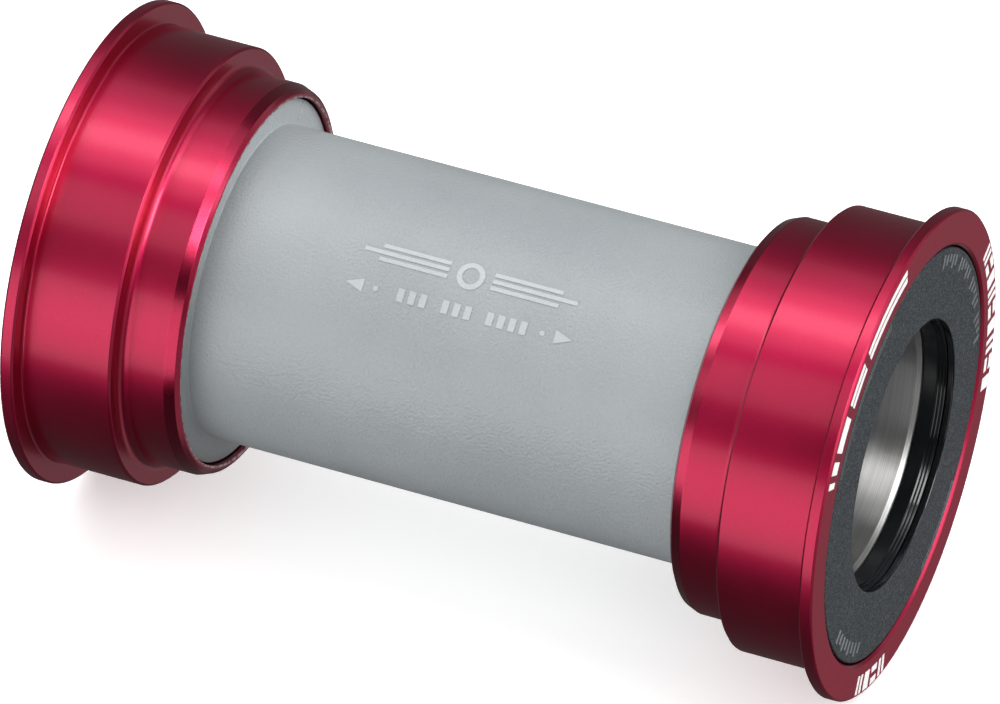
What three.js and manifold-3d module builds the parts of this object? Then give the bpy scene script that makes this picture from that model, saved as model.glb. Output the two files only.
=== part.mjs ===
// A press-fit bottom bracket for a 41 mm frame shell and a 24 mm crank spindle.
//
// Two anodised cups slide on the collars of a plastic sleeve. Each cup holds a sealed 24 x 37 x 6 mm
// ball bearing behind a turning dust cap. Millimetres, +Z up. The spindle axis is Y: the left
// (non-drive) cup is at +Y and the right (drive) cup at -Y. The origin is on the spindle axis,
// midway between the cups.
//
// Every ring is an outline of [radius, station] points revolved about Y, where the station is the
// distance from the middle of the bracket, measured towards the cup's own side. Each radius is that
// of the circle inside the ring's facets, so a bore clears its shaft and a rim lies on a facet.

import * as THREE from "three";
import { mergeVertices } from "three/addons/utils/BufferGeometryUtils.js";
import Module from "manifold-3d";

// --- driving dimensions ---

const SHELL_BORE_R = 20.5; // the frame shell that the cups press into
const SPINDLE_R = 12; // the crank spindle that the bearings carry
const OVERALL_HALF = 39; // middle to a flange's outer face, with the cups pushed together
const CUP_LENGTH = 15.4; // flange face to rim
const PRESS_LENGTH = 8.6; // flange underside to the step at the barrel's end

const FLANGE_R = 22.55;
const FLANGE_T = 1.3;
const FLANGE_EDGE = 0.25; // rounding of the flange's rim
const ROOT_FILLET = 0.25; // where the flange meets the barrel
const BARREL_CHAMFER = 0.3; // lead-in at the barrel's inner end

const SKIRT_R = 18.3; // reduced end of the cup that covers the sleeve's collar
const SKIRT_FILLET = 0.8;
const SKIRT_BORE_R = 17.15;
const RIM_TAPER = [0.35, 0.9]; // radial, axial
const RIM_EDGE = [0.45, 0.3];

const BEARING_OR = 18.5;
const BEARING_W = 6;
const BEARING_DEPTH = 3.2; // flange face to the bearing's outer face
const SEAT_GAP = 0.12;
const RACE_EDGE = 0.3; // chamfer on the races' corners

const BALL_R = 3.175 / 2;
const BALL_COUNT = 16;
const GROOVE_R = BALL_R + 0.13;
const LAND_OFFSET = 1.0; // each race's shoulder from the pitch circle
const SEAL_T = 0.5;
const SEAL_INSET = 0.15; // the seal's face below the race's face
const SEAL_GAP = 0.15;
const SEAL_GROOVE = 0.65; // how far the seal reaches into the outer race

const CAGE_HALF_T = 0.7;
const CAGE_BACK = 2.15; // closed side of the cage from the ball centres
const CAGE_FRONT = 1.0; // open side, which snaps over the balls
const POCKET_R = BALL_R + 0.12;

const RECESS_R = 19.25; // counterbore in the flange for the dust cap
const RECESS_DEPTH = 2.1;
const CAP_R = 19.05;
const CAP_SET_BACK = 0.15; // the cap's face below the flange's face
const CAP_T = 1.3;
const CAP_HOLE_R = 12.5;
const CAP_EDGE = 0.2;
const CAP_SKIRT_T = 1.1; // the cap's outer wall, which stands on the counterbore's floor
const LIP_MOUTH_R = 12.45; // rubber lip ring between the cap and the inner race
const LIP_BORE_R = 12.15;
const LIP_OUTER_R = 13.9;
const LIP_GAP = 0.1;

const SLEEVE_R = 14.62;
const SLEEVE_BORE_R = 13.3;
const COLLAR_R = 17.0; // end of the sleeve that slides in the cup's skirt
const COLLAR_WALL = 1.5;
const COLLAR_SET_BACK = 0.55; // the collar's shoulder behind the cup's rim
const COLLAR_END_GAP = 0.25; // collar to bearing with the cups pushed together
const FLARE = 1.6; // blend radius from the tube to the collar's shoulder

const SEGMENTS_OUTER = 40; // facets round the cups and the sleeve
const SEGMENTS_INNER = 32; // facets round the bearing pieces and caps
const ARC_STEPS = 3;

// --- derived stations, from the middle outwards ---

const flangeFace = OVERALL_HALF;
const flangeUnder = flangeFace - FLANGE_T;
const step = flangeUnder - PRESS_LENGTH;
const rim = flangeFace - CUP_LENGTH;
const recessFloor = flangeFace - RECESS_DEPTH;
const bearingOuter = flangeFace - BEARING_DEPTH;
const bearingInner = bearingOuter - BEARING_W;
const ballStation = (bearingOuter + bearingInner) / 2;
const pitchR = (SPINDLE_R + BEARING_OR) / 2;
const capFace = flangeFace - CAP_SET_BACK;
const capBack = capFace - CAP_T;
const collarShoulder = rim + COLLAR_SET_BACK;
const collarEnd = bearingInner - COLLAR_END_GAP;

// --- materials ---

const material = (color, roughness, metalness) =>
  new THREE.MeshStandardMaterial({ color, roughness, metalness });

const anodisedRed = material(0xa8172f, 0.3, 1);
const sleevePlastic = material(0xa7adb0, 0.6, 0);
const capPlastic = material(0x2c3135, 0.75, 0);
const blackRubber = material(0x101113, 0.35, 0);
const sealRubber = material(0x1a1b1d, 0.6, 0);
const bearingSteel = material(0x9a9c9e, 0.25, 1);
const ballSteel = material(0xd0d2d4, 0.1, 1);
const cageNylon = material(0x5a4632, 0.6, 0);

// --- shape helpers ---

// Points along an arc between two angles in degrees, in the outline's [radius, station] plane.
function arc(centreR, centreS, radius, from, to, steps = ARC_STEPS) {
  return Array.from({ length: steps + 1 }, (_, i) => {
    const angle = THREE.MathUtils.degToRad(from + ((to - from) * i) / steps);
    return [centreR + radius * Math.cos(angle), centreS + radius * Math.sin(angle)];
  });
}

function signedArea(points) {
  return points.reduce((sum, [r, s], i) => {
    const [nextR, nextS] = points[(i + 1) % points.length];
    return sum + (r * nextS - nextR * s) / 2;
  }, 0);
}

// A solid of revolution about Y from a closed outline; side is +1 for the left cup, -1 for the right.
function ring(outline, side, segments) {
  const halfFacet = Math.PI / segments;
  const placed = outline.map(([r, s]) => [r / Math.cos(halfFacet), s * side]);
  if (signedArea(placed) < 0) placed.reverse();
  const loop = [...placed, placed[0]].map(([r, y]) => new THREE.Vector2(r, y));
  return new THREE.LatheGeometry(loop, segments, halfFacet);
}

// --- outlines ---

const cupOutline = [
  [RECESS_R, flangeFace],
  [FLANGE_R - FLANGE_EDGE, flangeFace],
  [FLANGE_R, flangeFace - FLANGE_EDGE],
  [FLANGE_R, flangeUnder + FLANGE_EDGE],
  [FLANGE_R - FLANGE_EDGE, flangeUnder],
  [SHELL_BORE_R + ROOT_FILLET, flangeUnder],
  [SHELL_BORE_R, flangeUnder - ROOT_FILLET],
  [SHELL_BORE_R, step + BARREL_CHAMFER],
  [SHELL_BORE_R - BARREL_CHAMFER, step],
  [SKIRT_R + SKIRT_FILLET, step],
  [SKIRT_R, step - SKIRT_FILLET],
  [SKIRT_R, rim + RIM_EDGE[1] + RIM_TAPER[1]],
  [SKIRT_R - RIM_TAPER[0], rim + RIM_EDGE[1]],
  [SKIRT_R - RIM_TAPER[0] - RIM_EDGE[0], rim],
  [SKIRT_BORE_R, rim],
  [SKIRT_BORE_R, bearingInner - SEAT_GAP],
  [BEARING_OR + SEAT_GAP, bearingInner - SEAT_GAP],
  [BEARING_OR + SEAT_GAP, recessFloor],
  [RECESS_R, recessFloor],
];

// Half of the sleeve from its middle to one end; the other half mirrors it.
function sleeveOutline() {
  const flareCentreR = SLEEVE_R + FLARE;
  const flareCentreS = collarShoulder - FLARE;
  const collarBoreR = COLLAR_R - COLLAR_WALL;
  const half = [
    ...arc(flareCentreR, flareCentreS, FLARE, 180, 90),
    [COLLAR_R, collarShoulder],
    [COLLAR_R, collarEnd],
    [collarBoreR, collarEnd],
    [collarBoreR, collarShoulder + COLLAR_WALL],
    [SLEEVE_BORE_R, collarShoulder],
  ];
  const mirrored = half.map(([r, s]) => [r, -s]).reverse();
  return [...half, ...mirrored];
}

// The half-angle at which a raceway meets a race's shoulder, LAND_OFFSET from the pitch circle.
const grooveHalfAngle = THREE.MathUtils.radToDeg(Math.acos(LAND_OFFSET / GROOVE_R));

const innerRaceOutline = [
  [SPINDLE_R, bearingInner + RACE_EDGE],
  [SPINDLE_R + RACE_EDGE, bearingInner],
  [pitchR - LAND_OFFSET, bearingInner],
  ...arc(pitchR, ballStation, GROOVE_R, 180 + grooveHalfAngle, 180 - grooveHalfAngle),
  [pitchR - LAND_OFFSET, bearingOuter],
  [SPINDLE_R + RACE_EDGE, bearingOuter],
  [SPINDLE_R, bearingOuter - RACE_EDGE],
];

const sealBed = SEAL_INSET + SEAL_T + SEAL_GAP;
const sealOuterR = pitchR + LAND_OFFSET + SEAL_GROOVE;

const outerRaceOutline = [
  [BEARING_OR - RACE_EDGE, bearingInner],
  [BEARING_OR, bearingInner + RACE_EDGE],
  [BEARING_OR, bearingOuter - RACE_EDGE],
  [BEARING_OR - RACE_EDGE, bearingOuter],
  [sealOuterR, bearingOuter],
  [sealOuterR, bearingOuter - sealBed],
  [pitchR + LAND_OFFSET, bearingOuter - sealBed],
  ...arc(pitchR, ballStation, GROOVE_R, grooveHalfAngle, -grooveHalfAngle),
  [pitchR + LAND_OFFSET, bearingInner + sealBed],
  [sealOuterR, bearingInner + sealBed],
  [sealOuterR, bearingInner],
];

// A bearing seal, given the station of its outer face and the direction from there into the bearing.
function sealOutline(face, inward) {
  const innerR = pitchR - LAND_OFFSET + SEAL_GAP;
  const outerR = sealOuterR - SEAL_GAP;
  const back = face + inward * SEAL_T;
  return [
    [innerR, face],
    [outerR, face],
    [outerR, back],
    [innerR, back],
  ];
}

const capOutline = [
  [CAP_HOLE_R + CAP_EDGE, capFace],
  [CAP_R - CAP_EDGE, capFace],
  [CAP_R, capFace - CAP_EDGE],
  [CAP_R, recessFloor + LIP_GAP],
  [CAP_R - CAP_SKIRT_T, recessFloor + LIP_GAP],
  [CAP_R - CAP_SKIRT_T, capBack],
  [LIP_OUTER_R + LIP_GAP, capBack],
  [LIP_OUTER_R + LIP_GAP, capFace - CAP_T / 2],
  [CAP_HOLE_R, capFace - CAP_T / 2],
  [CAP_HOLE_R, capFace - CAP_EDGE],
];

const lipOutline = [
  [LIP_BORE_R, bearingOuter + LIP_GAP],
  [LIP_OUTER_R, bearingOuter + LIP_GAP],
  [LIP_OUTER_R, capFace - CAP_T / 2 - LIP_GAP],
  [LIP_MOUTH_R, capFace - CAP_T / 2 - LIP_GAP],
];

// --- the ball cage, a ring with one radial pocket for each ball ---

const wasm = await Module();
wasm.setup();

function toSolid(geometry) {
  const bare = geometry.clone();
  bare.deleteAttribute("normal");
  bare.deleteAttribute("uv");
  const merged = mergeVertices(bare, 1e-4);
  const mesh = new wasm.Mesh({
    numProp: 3,
    vertProperties: merged.attributes.position.array,
    triVerts: new Uint32Array(merged.index.array),
  });
  return new wasm.Manifold(mesh);
}

function toGeometry(solid) {
  const { vertProperties, triVerts } = solid.getMesh();
  const geometry = new THREE.BufferGeometry();
  geometry.setAttribute("position", new THREE.BufferAttribute(vertProperties, 3));
  geometry.setIndex(new THREE.BufferAttribute(triVerts, 1));
  geometry.computeVertexNormals();
  return geometry;
}

// The angle of one ball about the spindle axis.
const ballAngle = (index) => ((index + 0.5) * 2 * Math.PI) / BALL_COUNT;

function ballCentre(index, side) {
  const angle = ballAngle(index);
  return new THREE.Vector3(pitchR * Math.sin(angle), ballStation * side, pitchR * Math.cos(angle));
}

function cageGeometry(side) {
  const outline = [
    [pitchR - CAGE_HALF_T, ballStation - CAGE_BACK],
    [pitchR + CAGE_HALF_T, ballStation - CAGE_BACK],
    [pitchR + CAGE_HALF_T, ballStation + CAGE_FRONT],
    [pitchR - CAGE_HALF_T, ballStation + CAGE_FRONT],
  ];
  const pocketSides = 8;
  let cage = toSolid(ring(outline, side, SEGMENTS_INNER));
  for (let i = 0; i < BALL_COUNT; i++) {
    const pocket = new THREE.CylinderGeometry(POCKET_R, POCKET_R, 4 * CAGE_HALF_T, pocketSides);
    pocket.rotateX(Math.PI / 2);
    pocket.rotateY(ballAngle(i));
    pocket.translate(...ballCentre(i, side));
    cage = cage.subtract(toSolid(pocket));
  }
  return toGeometry(cage);
}

// --- assembly ---

const part = new THREE.Group();

function add(parent, name, geometry, look) {
  const mesh = new THREE.Mesh(geometry, look);
  mesh.name = name;
  parent.add(mesh);
  return mesh;
}

function addBearing(group, name, side) {
  const turned = (outline) => ring(outline, side, SEGMENTS_INNER);
  add(group, `${name}_outer_race`, turned(outerRaceOutline), bearingSteel);
  add(group, `${name}_inner_race`, turned(innerRaceOutline), bearingSteel);
  add(group, `${name}_outboard_seal`, turned(sealOutline(bearingOuter - SEAL_INSET, -1)), sealRubber);
  add(group, `${name}_inboard_seal`, turned(sealOutline(bearingInner + SEAL_INSET, 1)), sealRubber);
  add(group, `${name}_ball_cage`, cageGeometry(side), cageNylon);
  for (let i = 0; i < BALL_COUNT; i++) {
    const number = String(i + 1).padStart(2, "0");
    const ball = add(group, `${name}_ball_${number}`, new THREE.SphereGeometry(BALL_R, 8, 5), ballSteel);
    ball.position.copy(ballCentre(i, side));
  }
}

function addCup(name, side) {
  const group = new THREE.Group();
  add(group, `${name}_cup`, ring(cupOutline, side, SEGMENTS_OUTER), anodisedRed);
  addBearing(group, name, side);
  add(group, `${name}_lip_ring`, ring(lipOutline, side, SEGMENTS_INNER), blackRubber);
  add(group, `${name}_dust_cap`, ring(capOutline, side, SEGMENTS_INNER), capPlastic);
  part.add(group);
}

add(part, "sleeve", ring(sleeveOutline(), 1, SEGMENTS_OUTER), sleevePlastic);
addCup("left", 1);
addCup("right", -1);

export default part;
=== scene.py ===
"""The looks of a press-fit bottom bracket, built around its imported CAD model.

Every ring is an outline of (radius, station) points turned about the spindle axis Y, where the
station is the distance from the middle of the bracket towards the cup's own side. Lengths in this
file are millimetres until a mesh is made.
"""

import math

import bmesh
import bpy
from mathutils import Matrix, Vector

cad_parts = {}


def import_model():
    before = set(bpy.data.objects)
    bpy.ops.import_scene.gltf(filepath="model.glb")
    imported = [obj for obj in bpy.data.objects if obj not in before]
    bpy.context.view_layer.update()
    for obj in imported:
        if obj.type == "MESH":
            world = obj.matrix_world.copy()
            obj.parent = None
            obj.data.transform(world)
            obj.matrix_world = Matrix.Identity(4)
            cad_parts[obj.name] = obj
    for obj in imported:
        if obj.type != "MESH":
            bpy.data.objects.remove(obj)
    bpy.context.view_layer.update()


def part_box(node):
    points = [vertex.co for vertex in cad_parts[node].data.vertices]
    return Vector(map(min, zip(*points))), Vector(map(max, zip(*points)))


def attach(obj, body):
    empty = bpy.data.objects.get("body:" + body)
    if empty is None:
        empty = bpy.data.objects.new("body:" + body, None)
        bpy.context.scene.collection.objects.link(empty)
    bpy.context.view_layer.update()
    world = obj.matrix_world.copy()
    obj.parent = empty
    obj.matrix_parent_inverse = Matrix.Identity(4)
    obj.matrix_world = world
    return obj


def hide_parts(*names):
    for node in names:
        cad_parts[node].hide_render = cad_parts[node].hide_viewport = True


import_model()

MM = 0.001
SIDES = {"left": 1, "right": -1}  # the sign of Y on each side
SEGMENTS = 192  # round every turned ring
SHARP_ANGLE = 40  # degrees between faces, above which an edge isn't shaded smooth
FINE = 0.02  # the thickness of the print, and the room left for it inside the CAD box
BALLS = 16


# --- sizes ---

def low(node, axis):
    """The CAD node's lower end along an axis, at rest."""
    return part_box(node)[0][axis] / MM


def high(node, axis):
    """The CAD node's upper end along an axis, at rest."""
    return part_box(node)[1][axis] / MM


# Read from the CAD model.
FACE = high("left_cup", 1)
RIM = low("left_cup", 1)
FLANGE_R = high("left_cup", 0)
CAP_FACE = high("left_dust_cap", 1)
CAP_FOOT = low("left_dust_cap", 1)
CAP_R = high("left_dust_cap", 0)
LIP_TOP = high("left_lip_ring", 1)
RACE_OUT = high("left_outer_race", 1)
RACE_IN = low("left_outer_race", 1)
RACE_R = high("left_outer_race", 0)
COLLAR_END = high("sleeve", 1)
COLLAR_R = high("sleeve", 0)
BALL_S = (RACE_OUT + RACE_IN) / 2
BALL_R = (high("left_ball_01", 2) - low("left_ball_01", 2)) / 2

# Not on any CAD box, so stated here as the CAD model has them.
FLANGE_T = 1.3
BARREL_R = 20.5
BARREL_LENGTH = 8.6
STEP = FACE - FLANGE_T - BARREL_LENGTH
SKIRT_R = 18.3
MOUTH_R = 17.15
SEAT_R = 18.62
POCKET_R = 19.25
POCKET_FLOOR = FACE - 2.1
BORE_R = 12.0
PITCH_R = (BORE_R + RACE_R) / 2
CAP_HOLE_R = 12.5
TUBE_R = 14.62
TUBE_BORE_R = 13.3
SHOULDER = RIM + 0.55

# Where the marks lie: the flange print's circle, and the lines on the sleeve in degrees from +X to +Z.
PRINT_R = 21.3
EMBLEM_LINE = 126
RIB_LINE = 47


# --- mesh builders ---

def add(name, data):
    """A new object in the scene."""
    made = bpy.data.objects.new(name, data)
    bpy.context.scene.collection.objects.link(made)
    return made


def soften(corners, steps=5):
    """The closed outline through (radius, station, fillet) corners, each rounded by its own fillet."""
    points = []
    for i, (r, s, fillet) in enumerate(corners):
        here = Vector((r, s))
        if not fillet:
            points.append(here)
            continue
        before = (Vector(corners[i - 1][:2]) - here).normalized()
        after = (Vector(corners[(i + 1) % len(corners)][:2]) - here).normalized()
        half = before.angle(after) / 2
        centre = here + (before + after).normalized() * (fillet / math.sin(half))
        start = here + before * (fillet / math.tan(half)) - centre
        end = here + after * (fillet / math.tan(half)) - centre
        turn = start.angle_signed(end)
        for k in range(steps + 1):
            points.append(centre + Matrix.Rotation(-turn * k / steps, 2) @ start)
    return points


def braced(points):
    """The outline with a point near both ends of each long stretch, which keeps flats flat when shaded."""
    margin = 0.1
    out = []
    for i, here in enumerate(points):
        following = points[(i + 1) % len(points)]
        out.append(here)
        length = (following - here).length
        if length > 4 * margin:
            out.append(here.lerp(following, margin / length))
            out.append(following.lerp(here, margin / length))
    return out


def finish_mesh(name, vertices, faces, materials, indices=None):
    """A smooth-shaded object from vertices in millimetres, with its faces turned outwards."""
    mesh = bpy.data.meshes.new(name)
    mesh.from_pydata([Vector(v) * MM for v in vertices], [], faces)
    for look in materials:
        mesh.materials.append(look)
    if indices:
        mesh.polygons.foreach_set("material_index", indices)
    tidy = bmesh.new()
    tidy.from_mesh(mesh)
    bmesh.ops.recalc_face_normals(tidy, faces=tidy.faces)
    tidy.to_mesh(mesh)
    tidy.free()
    mesh.shade_smooth()
    mesh.set_sharp_from_angle(angle=math.radians(SHARP_ANGLE))
    return add(name, mesh)


def ring(name, outline, side, materials, second=None):
    """Turns a closed outline about Y. second(r, s) picks the faces that take the second material."""
    outline = braced(outline)
    vertices, faces, indices = [], [], []
    count = len(outline)
    for k in range(SEGMENTS):
        angle = 2 * math.pi * k / SEGMENTS
        for point in outline:
            vertices.append((point[0] * math.cos(angle), point[1] * side, point[0] * math.sin(angle)))
    for k in range(SEGMENTS):
        for i in range(count):
            j = (i + 1) % count
            row, following = k * count, (k + 1) % SEGMENTS * count
            faces.append((row + i, row + j, following + j, following + i))
            middle = (outline[i] + outline[j]) / 2
            indices.append(1 if second and second(*middle) else 0)
    return finish_mesh(name, vertices, faces, materials, indices=indices)


def ribbons(name, rails, place, height, look):
    """Low raised strips. Each strip lies between two rails of (u, v) points; place maps (u, v, lift)."""
    vertices, faces = [], []
    for left, right in rails:
        start, count = len(vertices), len(left)
        for a, b in zip(left, right):
            vertices += [place(*a, height), place(*b, height), place(*b, -FINE), place(*a, -FINE)]
        for k in range(count - 1):
            row, following = start + 4 * k, start + 4 * (k + 1)
            for i in range(4):
                j = (i + 1) % 4
                faces.append((row + i, row + j, following + j, following + i))
        last = start + 4 * (count - 1)
        faces.append((start + 3, start + 2, start + 1, start))
        faces.append((last, last + 1, last + 2, last + 3))
    return finish_mesh(name, vertices, faces, [look])


def bar(u0, u1, v0, v1, steps=8):
    """The two rails of a straight bar along u, from v0 to v1."""
    marks = [u0 + (u1 - u0) * k / steps for k in range(steps + 1)]
    return [(u, v0) for u in marks], [(u, v1) for u in marks]


def hoop(u, v, inner, outer, steps=32):
    """The two rails of a small ring about the point (u, v), whose two ends meet."""
    turns = [2 * math.pi * k / steps for k in range(steps + 1)]
    return tuple(
        [(u + radius * math.cos(t), v + radius * math.sin(t)) for t in turns]
        for radius in (inner, outer)
    )


def wedge(u0, u1, v, half):
    """The two rails of an arrow head that starts wide at u0 and ends in a blunt tip at u1."""
    return [(u0, v - half), (u1, v - FINE)], [(u0, v + half), (u1, v + FINE)]


# --- materials ---

class Look:
    """A node material: constants go on the shader's sockets, and detail comes from linked nodes."""

    def __init__(self, name, **sockets):
        self.material = bpy.data.materials.new(name)
        self.material.use_nodes = True
        self.tree = self.material.node_tree
        self.shader = self.tree.nodes["Principled BSDF"]
        for socket, value in sockets.items():
            self.shader.inputs[socket.replace("_", " ")].default_value = value
        self.place = self.tree.nodes.new("ShaderNodeTexCoord").outputs["Object"]

    def node(self, kind, settings=None, **inputs):
        """A node whose inputs are given by name, or by number as i0, i1 and so on."""
        made = self.tree.nodes.new("ShaderNode" + kind)
        for key, value in (settings or {}).items():
            setattr(made, key, value)
        for key, value in inputs.items():
            numbered = key[0] == "i" and key[1:].isdigit()
            socket = made.inputs[int(key[1:])] if numbered else made.inputs[key]
            if isinstance(value, bpy.types.NodeSocket):
                self.tree.links.new(value, socket)
            else:
                socket.default_value = value
        return made

    def math(self, operation, a, b=0.0):
        return self.node("Math", {"operation": operation}, i0=a, i1=b).outputs[0]

    def noise(self, scale, detail=2.0, vector=None):
        made = self.node("TexNoise", Vector=vector or self.place, Scale=scale, Detail=detail)
        return made.outputs["Fac"]

    def turned(self):
        """Coordinates whose texture runs in circles about the axis, then the radius and the station."""
        x, y, z = self.node("SeparateXYZ", Vector=self.place).outputs
        across, upward = self.math("MULTIPLY", x, x), self.math("MULTIPLY", z, z)
        radius = self.math("SQRT", self.math("ADD", across, upward))
        return self.node("CombineXYZ", X=radius, Y=y).outputs[0], radius, self.math("ABSOLUTE", y)

    def spread(self, value, start, end, source=(0.3, 0.7)):
        """The source range, by default that of most of a noise, stretched to start and end."""
        made = self.node("MapRange", i0=value, i1=source[0], i2=source[1], i3=start, i4=end)
        return made.outputs[0]

    def blend(self, amount, first, second):
        made = self.node("Mix", {"data_type": "RGBA"}, i0=amount)
        for index, value in ((6, first), (7, second)):
            if isinstance(value, bpy.types.NodeSocket):
                self.tree.links.new(value, made.inputs[index])
            else:
                made.inputs[index].default_value = (*value, 1)
        return made.outputs[2]

    def colour(self, socket):
        self.tree.links.new(socket, self.shader.inputs["Base Color"])

    def rough(self, socket):
        self.tree.links.new(socket, self.shader.inputs["Roughness"])

    def bump(self, height, strength, distance):
        """Adds a bump of so many millimetres on top of those already there."""
        made = self.node("Bump", Height=height, Strength=strength, Distance=distance * MM)
        normal = self.shader.inputs["Normal"]
        if normal.is_linked:
            self.tree.links.new(normal.links[0].from_socket, made.inputs["Normal"])
        self.tree.links.new(made.outputs[0], normal)


def between(look, value, start, end):
    """1 where value lies between start and end millimetres, else 0."""
    above = look.math("GREATER_THAN", value, start * MM)
    below = look.math("LESS_THAN", value, end * MM)
    return look.math("MULTIPLY", above, below)


def anodised():
    """Red anodised aluminium: turned lines, a duller flat face, a polished taper and pale specks along the
    mouth edge.
    """
    look = Look("anodised_red", Metallic=1.0, Coat_Weight=0.55, Coat_Roughness=0.18, Coat_IOR=1.5)
    circles, radius, station = look.turned()
    grain = look.noise(5200, 2.0)
    cloud = look.noise(90, 2.0)
    lines = look.noise(7000, 2.0, circles)
    red = look.blend(look.spread(cloud, 0, 1), (0.43, 0.008, 0.050), (0.48, 0.011, 0.062))
    red = look.blend(look.spread(grain, 0, 0.35), red, (0.36, 0.004, 0.044))
    face = look.math("GREATER_THAN", station, (FACE - 0.1) * MM)
    red = look.blend(look.math("MULTIPLY", face, 0.6), red, (0.46, 0.020, 0.060))
    coat = look.math("SUBTRACT", 0.55, look.math("MULTIPLY", face, 0.35))
    look.tree.links.new(coat, look.shader.inputs["Coat Weight"])
    # Pale specks in a thin ring at the mouth's inner edge on the rim.
    mouth_specks = look.math("LESS_THAN", look.math("ADD", radius, station), (MOUTH_R + RIM + 0.2) * MM)
    speckle = look.spread(look.noise(1600, 3.0), 0.1, 0.7, (0.44, 0.56))
    mouth_specks = look.math("MULTIPLY", mouth_specks, between(look, station, RIM - 0.1, RIM + 0.1))
    mouth_specks = look.math("MULTIPLY", mouth_specks, speckle)
    look.colour(look.blend(mouth_specks, red, (0.95, 0.88, 0.88)))
    rough = look.spread(look.math("ADD", grain, cloud), 0.34, 0.42, (0.7, 1.3))
    polish = between(look, station, RIM + 0.05, RIM + 1.25)
    rough = look.math("MULTIPLY", rough, look.math("SUBTRACT", 1.0, look.math("MULTIPLY", polish, 0.35)))
    look.rough(look.math("ADD", rough, look.math("MULTIPLY", face, 0.1)))
    look.bump(lines, 0.1, 0.02)
    look.bump(grain, 0.1, 0.03)
    return look.material


def moulded_grey(name, dark, light, depth=0.07):
    """Leather-grained plastic, with a painted highlight on the sleeve's flat shoulders: a paler tone there
    for the light they catch.
    """
    look = Look(name, IOR=1.47, Specular_IOR_Level=0.6)
    station = look.turned()[2]
    pebble = look.noise(5200, 1.0)
    leather = look.noise(3600, 1.0)
    tone = look.blend(look.spread(look.noise(90, 2.0), 0, 1), dark, light)
    shade = look.blend(look.spread(pebble, 0, 0.5), tone, tuple(1.08 * c for c in light))
    # Painted highlight: the flat shoulder band is blended towards a paler tone to stand for the light it
    # catches.
    shoulder = between(look, station, SHOULDER - 0.12, SHOULDER + 0.12)
    painted_light_tone = tuple(1.35 * c for c in light)
    look.colour(look.blend(look.math("MULTIPLY", shoulder, 0.8), shade, painted_light_tone))
    look.rough(look.spread(pebble, 0.30, 0.38))
    look.bump(pebble, 1.0, depth / 2)
    look.bump(leather, 1.0, depth)
    return look.material


def spark_eroded():
    """Dark plastic from a spark-eroded mould: pale specks and dull blotches."""
    look = Look("cap_plastic", IOR=1.5, Specular_IOR_Level=0.45)
    speck = look.noise(7200, 3.0)
    blotch = look.noise(2600, 2.0)
    specks = look.spread(speck, 0, 1, (0.5, 0.66))
    tone = look.blend(specks, (0.009, 0.013, 0.017), (0.078, 0.096, 0.111))
    look.colour(look.blend(look.spread(blotch, 0, 0.45), tone, (0.014, 0.018, 0.021)))
    look.rough(look.spread(speck, 0.62, 0.36))
    look.bump(speck, 0.6, 0.04)
    look.bump(blotch, 0.3, 0.05)
    return look.material


def glossy_black(name, tone, smooth, turned_lines):
    """Black rubber with moulding lines that run round the axis."""
    look = Look(name, IOR=1.5)
    circles = look.turned()[0]
    look.colour(look.blend(look.spread(look.noise(400, 2.0), 0, 1), tone, tuple(2 * c for c in tone)))
    look.rough(look.spread(look.noise(900, 3.0), smooth, smooth + 0.12))
    look.bump(look.noise(1800, 2.0, circles), turned_lines, 0.03)
    return look.material


def ground_steel(name, tone, smooth, lines, stretch=0.0):
    """Steel with grinding lines round the axis, which stretch its highlights along the axis."""
    look = Look(name, Metallic=1.0, Anisotropic=stretch, Anisotropic_Rotation=0.25)
    circles = look.turned()[0]
    fine = look.noise(30000, 3.0, circles)
    coarse = look.noise(5000, 2.0, circles)
    both = look.math("ADD", fine, coarse)
    look.colour(look.blend(look.spread(both, 0, 1, (0.7, 1.3)), tuple(0.5 * c for c in tone), tone))
    worn = look.math("ADD", fine, look.noise(900, 3.0))
    look.rough(look.spread(worn, smooth, smooth + 0.1, (0.7, 1.3)))
    look.bump(both, lines, 0.01)
    if stretch:
        around = look.node("Tangent", {"direction_type": "RADIAL", "axis": "Y"})
        look.tree.links.new(around.outputs[0], look.shader.inputs["Tangent"])
    return look.material


def nylon():
    """The ball cages' brown plastic."""
    look = Look("cage_nylon", IOR=1.5)
    grain = look.noise(2600, 3.0)
    look.colour(look.blend(look.spread(grain, 0, 1), (0.09, 0.055, 0.03), (0.15, 0.10, 0.055)))
    look.rough(look.spread(grain, 0.4, 0.6))
    look.bump(grain, 0.2, 0.03)
    return look.material


def printed_white():
    """White ink, a little thin where the screen missed."""
    look = Look("printed_white", IOR=1.45)
    screen = look.noise(3000, 3.0)
    cover = look.spread(screen, 0, 1, (0.3, 0.42))
    look.colour(look.blend(cover, (0.80, 0.78, 0.79), (0.97, 0.97, 0.97)))
    look.rough(look.spread(screen, 0.4, 0.55))
    look.bump(screen, 0.15, 0.02)
    return look.material


RED = anodised()
GREY = moulded_grey("sleeve_plastic", (0.244, 0.266, 0.277), (0.278, 0.300, 0.311))
# Painted light: a lighter copy of the sleeve plastic for its raised marks and shoulder ribs. These are
# moulded in the same plastic and only catch more light.
PAINTED_LIT_GREY = moulded_grey("raised_mark_plastic_painted_lighter", (0.350, 0.372, 0.380), (0.400, 0.422, 0.430), depth=0.04)
CAP = spark_eroded()
MARK = moulded_grey("raised_cap_mark", (0.080, 0.090, 0.098), (0.160, 0.172, 0.182))
GLOSS = glossy_black("lip_rubber", (0.004, 0.005, 0.006), 0.08, 0.1)
SEAL = glossy_black("seal_rubber", (0.012, 0.012, 0.013), 0.35, 0.25)
STEEL = ground_steel("race_steel", (0.72, 0.71, 0.70), 0.34, 0.45, stretch=0.85)
BALL = ground_steel("ball_steel", (0.80, 0.80, 0.81), 0.06, 0.02)
NYLON = nylon()
WHITE = printed_white()


# --- outlines: corners are (radius, station, fillet) ---

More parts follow.
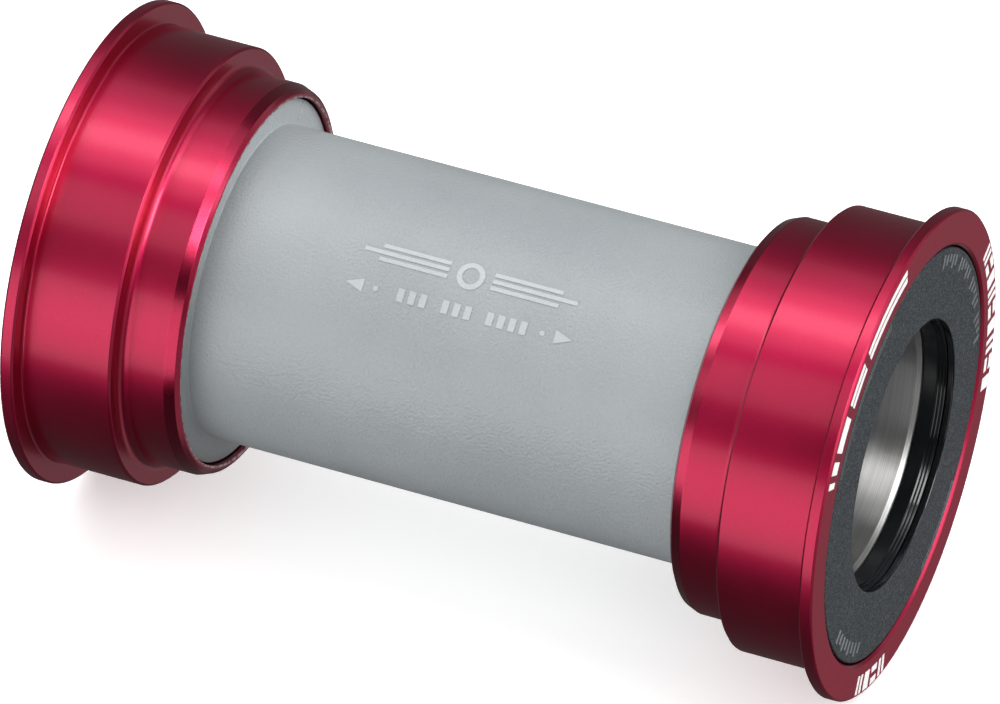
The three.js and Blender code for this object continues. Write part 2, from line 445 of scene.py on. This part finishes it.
CUP = soften([
    (POCKET_R + 0.25, FACE - FINE, 0.05),
    (FLANGE_R - 0.2, FACE - FINE, 0.06),
    (FLANGE_R, FACE - 0.22, 0.06),
    (FLANGE_R, FACE - FLANGE_T + 0.2, 0.06),
    (FLANGE_R - 0.2, FACE - FLANGE_T, 0.06),
    (BARREL_R, FACE - FLANGE_T, 0.2),
    (BARREL_R, STEP + 0.22, 0.06),
    (BARREL_R - 0.22, STEP, 0.06),
    (SKIRT_R, STEP, 0.8),
    (SKIRT_R, RIM + 1.2, 0.08),
    (SKIRT_R - 0.35, RIM + 0.3, 0.05),
    (SKIRT_R - 0.8, RIM, 0.06),
    (MOUTH_R, RIM, 0.08),
    (MOUTH_R, RACE_IN - 0.12, 0),
    (SEAT_R, RACE_IN - 0.12, 0),
    (SEAT_R, POCKET_FLOOR, 0.1),
    (POCKET_R, POCKET_FLOOR, 0.1),
    (POCKET_R, FACE - 0.27, 0.04),
])

CAP_OUTLINE = soften([
    (CAP_HOLE_R, CAP_FACE - FINE, 0.14),
    (CAP_R, CAP_FACE - FINE, 0.2),
    (CAP_R, CAP_FOOT, 0.1),
    (CAP_R - 1.1, CAP_FOOT, 0.1),
    (CAP_R - 1.1, CAP_FACE - 1.3, 0.1),
    (14.0, CAP_FACE - 1.3, 0),
    (14.0, CAP_FACE - 0.65, 0),
    (CAP_HOLE_R, CAP_FACE - 0.65, 0.06),
])


def lip_outline():
    """The lip ring, with three fine ridges near its mouth and a taper down to the race."""
    mouth, throat, foot = CAP_HOLE_R - 0.04, BORE_R + 0.3, RACE_OUT + 0.1
    corners = [(13.9, LIP_TOP, 0), (13.9, foot, 0), (throat, foot, 0.05)]
    taper = (mouth - throat) / (LIP_TOP - foot)
    for k in range(3):
        s = LIP_TOP - 0.95 + 0.32 * k
        r = throat + taper * (s - foot)
        crest = r - 0.05
        corners += [(r, s, 0), (crest, s + 0.05, 0.02), (crest, s + 0.10, 0.02), (r, s + 0.15, 0)]
    corners.append((mouth, LIP_TOP, 0.06))
    return soften(corners, steps=3)


LAND = 1.0  # from the balls' pitch circle to either race's shoulders


def groove(outward):
    """The raceway's arc in one race, from shoulder to shoulder."""
    radius = BALL_R + 0.13
    reach = math.acos(LAND / radius)
    sign = 1 if outward else -1
    steps = 14
    return [
        Vector((PITCH_R + sign * radius * math.cos(t), BALL_S + radius * math.sin(t)))
        for t in (reach - 2 * reach * k / steps for k in range(steps + 1))
    ]


SEAL_EDGE = PITCH_R + 1.65
SEAL_BED = 0.8
RACE_EDGE = 0.28
MOUTH_EDGE = 0.4


def corner(radius, station, inward_r, inward_s):
    """The two ends of the chamfer at a race's corner."""
    return [Vector((radius, station + inward_s)), Vector((radius + inward_r, station))]


INNER_RACE = (
    corner(BORE_R, RACE_IN, RACE_EDGE, RACE_EDGE)
    + [Vector((PITCH_R - LAND, RACE_IN))]
    + groove(False)[::-1]
    + [Vector((PITCH_R - LAND, RACE_OUT))]
    + corner(BORE_R, RACE_OUT, MOUTH_EDGE, -MOUTH_EDGE)[::-1]
)
OUTER_RACE = (
    [Vector((SEAL_EDGE, RACE_OUT)), Vector((SEAL_EDGE, RACE_OUT - SEAL_BED)),
     Vector((PITCH_R + LAND, RACE_OUT - SEAL_BED))]
    + groove(True)
    + [Vector((PITCH_R + LAND, RACE_IN + SEAL_BED)), Vector((SEAL_EDGE, RACE_IN + SEAL_BED)),
       Vector((SEAL_EDGE, RACE_IN))]
    + corner(RACE_R, RACE_IN, -RACE_EDGE, RACE_EDGE)[::-1]
    + corner(RACE_R, RACE_OUT, -RACE_EDGE, -RACE_EDGE)
)


def seal_outline(face, inward):
    """A bearing seal: a thin disc with a rolled inner lip and a shallow rib on its outer face."""
    inner, outer, back = PITCH_R - 0.85, SEAL_EDGE - 0.15, face + inward * 0.5
    dip = face + inward * 0.12
    return soften([
        (inner, dip, 0.04), (inner + 0.25, dip, 0),
        (inner + 0.35, face, 0.04), (outer - 0.3, face, 0.04),
        (outer - 0.2, dip, 0), (outer, dip, 0.04),
        (outer, back, 0.06), (inner, back, 0.06),
    ], steps=3)


def sleeve_outline():
    """The tube with a wider collar at each end, whose bore tapers to the tube's."""
    wall = 1.5
    half = [
        (TUBE_R, SHOULDER, 0.08), (COLLAR_R, SHOULDER, 0.1), (COLLAR_R, COLLAR_END, 0.15),
        (COLLAR_R - wall, COLLAR_END, 0.15), (COLLAR_R - wall, SHOULDER + wall, 0.5),
        (TUBE_BORE_R, SHOULDER, 0.5),
    ]
    return soften(half + [(r, -s, fillet) for r, s, fillet in reversed(half)], steps=8)


# --- pieces ---

def dress(piece, body, slot, *nodes):
    """Puts a piece on its body and hides the CAD nodes it stands for; its slot argument is not used."""
    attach(piece, body)
    if nodes:
        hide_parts(*nodes)


def cage_piece(name, side):
    """The ball cage: a ring with a round pocket cut through it for each ball, open on one side."""
    half, back, front = 0.7, 2.15, 1.0
    blank = ring(name, [
        Vector((PITCH_R - half, BALL_S - back)), Vector((PITCH_R + half, BALL_S - back)),
        Vector((PITCH_R + half, BALL_S + front)), Vector((PITCH_R - half, BALL_S + front)),
    ], side, [NYLON])
    cutter = bpy.data.meshes.new(name + "_pockets")
    drills = bmesh.new()
    hole = (BALL_R + 0.12) * MM
    for k in range(BALLS):
        turn = Matrix.Rotation(-(k + 0.5) * 2 * math.pi / BALLS, 4, "Y")
        place = turn @ Matrix.Translation((PITCH_R * MM, BALL_S * side * MM, 0))
        bmesh.ops.create_cone(
            drills, cap_ends=True, segments=32, radius1=hole, radius2=hole, depth=4 * half * MM,
            matrix=place @ Matrix.Rotation(math.pi / 2, 4, "Y"),
        )
    drills.to_mesh(cutter)
    drills.free()
    tool = add(name + "_tool", cutter)
    cut = blank.modifiers.new("pockets", "BOOLEAN")
    cut.operation, cut.object, cut.solver = "DIFFERENCE", tool, "EXACT"
    depsgraph = bpy.context.evaluated_depsgraph_get()
    shape = bpy.data.meshes.new_from_object(blank.evaluated_get(depsgraph))
    blank.modifiers.clear()
    blank.data = shape
    bpy.data.objects.remove(tool)
    return blank


def ball_mesh():
    mesh = bpy.data.meshes.new("bearing_ball")
    shape = bmesh.new()
    bmesh.ops.create_icosphere(shape, subdivisions=4, radius=BALL_R * MM)
    shape.to_mesh(mesh)
    shape.free()
    mesh.shade_smooth()
    mesh.materials.append(BALL)
    return mesh


BALL_MESH = ball_mesh()


def on_flange(side):
    """Places (mm along the printed circle from +X towards +Z, mm outwards from it, lift) on a flange."""
    def place(along, outwards, lift):
        turn, radius = along / PRINT_R, PRINT_R + outwards
        return radius * math.cos(turn), (FACE - FINE + lift) * side, radius * math.sin(turn)
    return place


def on_cap(side):
    """Places (degrees from +X towards +Z, radius, lift) on a dust cap."""
    def place(angle, radius, lift):
        turn = math.radians(angle)
        return radius * math.cos(turn), (CAP_FACE - FINE + lift) * side, radius * math.sin(turn)
    return place


def on_sleeve(station, around, lift):
    """Places (mm along Y, mm around the tube from the emblem's line, lift) on the sleeve."""
    turn = math.radians(EMBLEM_LINE) + around / TUBE_R
    radius = TUBE_R + lift
    return radius * math.cos(turn), station, radius * math.sin(turn)


def on_shoulder(side):
    """Places (radius, mm around from the ribs' line, lift) on the sleeve's flat shoulder."""
    def place(radius, around, lift):
        turn = math.radians(RIB_LINE) + around / radius
        return radius * math.cos(turn), (SHOULDER - lift) * side, radius * math.sin(turn)
    return place


def flange_print():
    """Two rows of upright bars, paired dashes and blocks in turn, and a run of strips and blocks."""
    rails = []
    pitch, half = 1.95, 0.88
    for first, count in ((8.55, 9), (-38.2, 4)):
        for k in range(count):
            u = first - pitch * k
            if k % 3 == 0:
                rails += [bar(start, start - 0.5, -half, half, steps=2) for start in (u + 0.7, u - 0.2)]
            elif k % 3 == 1:
                rails += [bar(u + 0.7, u - 0.7, v, v + 0.62, steps=2) for v in (-half, 0.26)]
            else:
                rails.append(bar(u + 0.65, u - 0.65, -half, half, steps=2))
    inner, outer = -0.75, 0.72
    for v in (inner, 0.12):
        rails += [bar(34.4, 43.6, v, v + 0.6, steps=24), bar(44.6, 48.4, v, v + 0.6, steps=10)]
    rails += [bar(start, end, inner, outer) for start, end in ((49.4, 52.6), (53.4, 54.6), (55.3, 55.9))]
    return rails


def cap_marks():
    """Two rows of fine raised ticks, and two pairs of thin arcs."""
    rails = []
    for k in range(22):
        if k % 6 != 5:
            turn = -2.9 * k
            rails.append(bar(61 + turn, 59.6 + turn, 17.15 + 0.3 * (k % 3), 18.45, steps=2))
    for k in range(8):
        turn = -3.4 * k
        rails.append(bar(-125 + turn, -126.6 + turn, 17.1, 18.1 + 0.3 * (k % 2), steps=2))
    for start, end in ((-45, -73), (103, 149)):
        rails += [bar(start, end, radius, radius + 0.14, steps=24) for radius in (18.15, 18.55)]
    return rails


def sleeve_marks():
    """A plain emblem of a ring between bars, over a row of blocks between two arrow heads."""
    rails = [hoop(0, -2.4, 0.8, 1.3)]
    for sign in (1, -1):
        for v, reach in ((-3.3, 8.6), (-2.65, 10.2), (-2.0, 8.6)):
            rails.append(bar(sign * 2.1, sign * reach, v, v + 0.38, steps=4))
        rails.append(wedge(sign * 9.2, sign * 10.8, 0.95, 0.62))
        rails.append(hoop(sign * 8.0, 0.95, 0.02, 0.24, steps=16))
    for k in range(12):
        if k not in (3, 7):
            u = 5.9 - 1.07 * k
            rails.append(bar(u, u - 0.62, 0.35, 1.55, steps=2))
    return rails


for name, side in SIDES.items():
    body = name + "_cup"
    dress(ring(name + "_cup_turned", CUP, side, [RED]), body, "cup_aluminium", name + "_cup")
    cap = ring(
        name + "_dust_cap_moulded", CAP_OUTLINE, side, [CAP, GLOSS],
        second=lambda r, s: r < CAP_HOLE_R + 0.06,
    )
    dress(cap, body, "cap_plastic", name + "_dust_cap")
    lip = ring(name + "_lip_ring_moulded", lip_outline(), side, [GLOSS])
    dress(lip, body, "lip_rubber", name + "_lip_ring")
    outer = ring(name + "_outer_race_ground", OUTER_RACE, side, [STEEL])
    dress(outer, body, "race_steel", name + "_outer_race")
    inner = ring(name + "_inner_race_ground", INNER_RACE, side, [STEEL])
    dress(inner, name + "_inner_race", "race_steel", name + "_inner_race")
    for label, face, inward in (("outboard", RACE_OUT - 0.15, -1), ("inboard", RACE_IN + 0.15, 1)):
        seal = ring(f"{name}_{label}_seal_moulded", seal_outline(face, inward), side, [SEAL])
        dress(seal, body, "seal_rubber", f"{name}_{label}_seal")
    cage = cage_piece(name + "_ball_cage_moulded", side)
    dress(cage, name + "_cage", "cage_nylon", name + "_ball_cage")
    for k in range(1, BALLS + 1):
        node = f"{name}_ball_{k:02d}"
        ball = add(node + "_polished", BALL_MESH)
        ball.location = sum(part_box(node), Vector()) / 2
        dress(ball, name + "_cage", "ball_steel", node)
    ink = ribbons(name + "_flange_print", flange_print(), on_flange(side), FINE, WHITE)
    dress(ink, body, "cup_aluminium")
    marks = ribbons(name + "_cap_marks", cap_marks(), on_cap(side), FINE, MARK)
    dress(marks, body, "cap_plastic")

dress(ring("sleeve_moulded", sleeve_outline(), 1, [GREY]), "sleeve", "sleeve_plastic", "sleeve")
for name, side in SIDES.items():
    # Each shoulder's small radial rib, drawn as two thin raised strips in the lighter plastic: painted
    # highlights for the two bright lines along its edges.
    pair = [bar(15.1, 16.8, v, v + 0.13, steps=4) for v in (-0.25, 0.12)]
    rib = ribbons(name + "_shoulder_rib_highlight_strips", pair, on_shoulder(side), 0.08, PAINTED_LIT_GREY)
    dress(rib, "sleeve", "sleeve_plastic")
dress(ribbons("sleeve_marks", sleeve_marks(), on_sleeve, 0.07, PAINTED_LIT_GREY), "sleeve", "sleeve_plastic")


# --- studio ---

def floor():
    """A pale paper floor under the cups, which doesn't light or shade the bracket."""
    look = Look(
        "floor_paper", Roughness=0.9, Specular_IOR_Level=0.1,
        Emission_Color=(1, 1, 1, 1), Emission_Strength=0.4,
    )
    look.colour(look.blend(look.noise(6, 2.0), (0.90, 0.90, 0.90), (0.93, 0.93, 0.93)))
    mesh = bpy.data.meshes.new("floor")
    reach, level = 6, low("left_cup", 2) * MM
    corners = [(x * reach, y * reach, level) for x, y in ((-1, -1), (1, -1), (1, 1), (-1, 1))]
    mesh.from_pydata(corners, [], [(0, 1, 2, 3)])
    mesh.materials.append(look.material)
    plane = add("floor", mesh)
    plane.visible_glossy = False
    plane.visible_diffuse = False
    plane.visible_shadow = False


def softbox(name, away, across, along, radiance, distance=0.5, shift=0.0, glossy=True, diffuse=True):
    """
    A soft light in the direction away, facing the spindle, then shifted along Y. Its across and along
    sizes, distance and shift are metres, and its long side lies as near to Y as that direction allows.
    """
    light = bpy.data.lights.new(name, "AREA")
    light.shape, light.size, light.size_y = "RECTANGLE", across, along
    light.energy = radiance * math.pi * across * along
    lamp = add(name, light)
    away = Vector(away).normalized()
    across_axis = Vector((0, 1, 0)).cross(away).normalized()
    axes = Matrix((across_axis, away.cross(across_axis), away)).transposed().to_4x4()
    lamp.matrix_world = Matrix.Translation(away * distance + Vector((0, shift, 0))) @ axes
    lamp.visible_camera = False
    lamp.visible_glossy = glossy
    lamp.visible_diffuse = diffuse


def round_spindle(turn):
    """The direction square to the spindle, in degrees from +X towards +Z."""
    return math.cos(math.radians(turn)), 0, math.sin(math.radians(turn))


def world():
    """An even white surround, left out of reflections."""
    backdrop = bpy.data.worlds.new("studio")
    backdrop.use_nodes = True
    sky = backdrop.node_tree.nodes["Background"]
    sky.inputs["Color"].default_value = (1, 1, 1, 1)
    sky.inputs["Strength"].default_value = 0.38
    bpy.context.scene.world = backdrop
    backdrop.cycles_visibility.glossy = False


def camera():
    """Behind, to the right and above, with the right cup's outer face in sight. Lengths are metres."""
    azimuth, elevation, distance, drop = math.radians(-67.07), math.radians(39.6), 0.9581, 0.00045
    back = Vector((
        math.sin(azimuth) * math.cos(elevation),
        -math.cos(azimuth) * math.cos(elevation),
        math.sin(elevation),
    ))
    right = Vector((math.cos(azimuth), math.sin(azimuth), 0))
    up = back.cross(right)
    lens = bpy.data.cameras.new("camera")
    lens.sensor_width = 36
    lens.lens = 384.8
    lens.clip_start, lens.clip_end = 0.01, 100
    eye = add("camera", lens)
    axes = Matrix((right, up, back)).transposed().to_4x4()
    eye.matrix_world = Matrix.Translation(back * distance - up * drop) @ axes
    bpy.context.scene.camera = eye


floor()
world()
camera()

# The bands of light along the cups and the sleeve.
softbox("overhead_box", round_spindle(86), 0.31, 1.2, 1.3, shift=0.26)
softbox("overhead_core", round_spindle(86), 0.11, 1.2, 2.8, shift=0.26, distance=0.52)
softbox("window_side_box", round_spindle(60), 0.18, 1.2, 0.7, shift=0.26)
softbox("middle_box", round_spindle(123), 0.20, 1.2, 1.05, shift=0.26)
softbox("side_box", round_spindle(183), 0.42, 1.1, 1.6, shift=0.3)

# The faces, the shoulder and the sleeve's near side.
softbox("front_box", (0.1, -0.95, 0.25), 0.45, 0.4, 2.0, distance=0.6, diffuse=False)
softbox("far_side_fill", (0.62, -0.72, 0.32), 0.5, 0.5, 4.6, distance=0.6, glossy=False)
softbox("near_side_fill", round_spindle(150), 0.5, 0.8, 1.1, shift=0.3, distance=0.6, glossy=False)
softbox("front_wash", (0.2, -1, -0.1), 1.8, 1.6, 0.4, distance=0.8, diffuse=False)
softbox("face_card", (0.71, -0.30, -0.64), 0.5, 0.3, 0.16, distance=0.6, diffuse=False)

# The ground bore of the right inner race.
softbox("bore_box", (-0.33, -0.60, 0.73), 0.26, 0.36, 9.0, distance=0.6, diffuse=False)

# A faint surround for the metal to reflect, and a soft light from overhead for the shadow.
softbox("dim_surround", (-0.2, 0.6, 1), 6.0, 6.0, 0.08, distance=2.0, diffuse=False)
softbox("under_glow", (0, 0.5, -1), 6.0, 6.0, 0.065, distance=2.0, diffuse=False)
softbox("left_wash", (-0.5, 0.85, 0.3), 1.2, 1.2, 0.2, distance=0.8, diffuse=False)
softbox("rear_wash", (1, 0, 0.05), 3.0, 3.0, 0.11, distance=1.5, diffuse=False)
softbox("overhead_fill", (-0.09, 0, 1), 1.6, 1.6, 0.16, distance=1.2, glossy=False)

bpy.context.scene.view_settings.view_transform = "Standard"
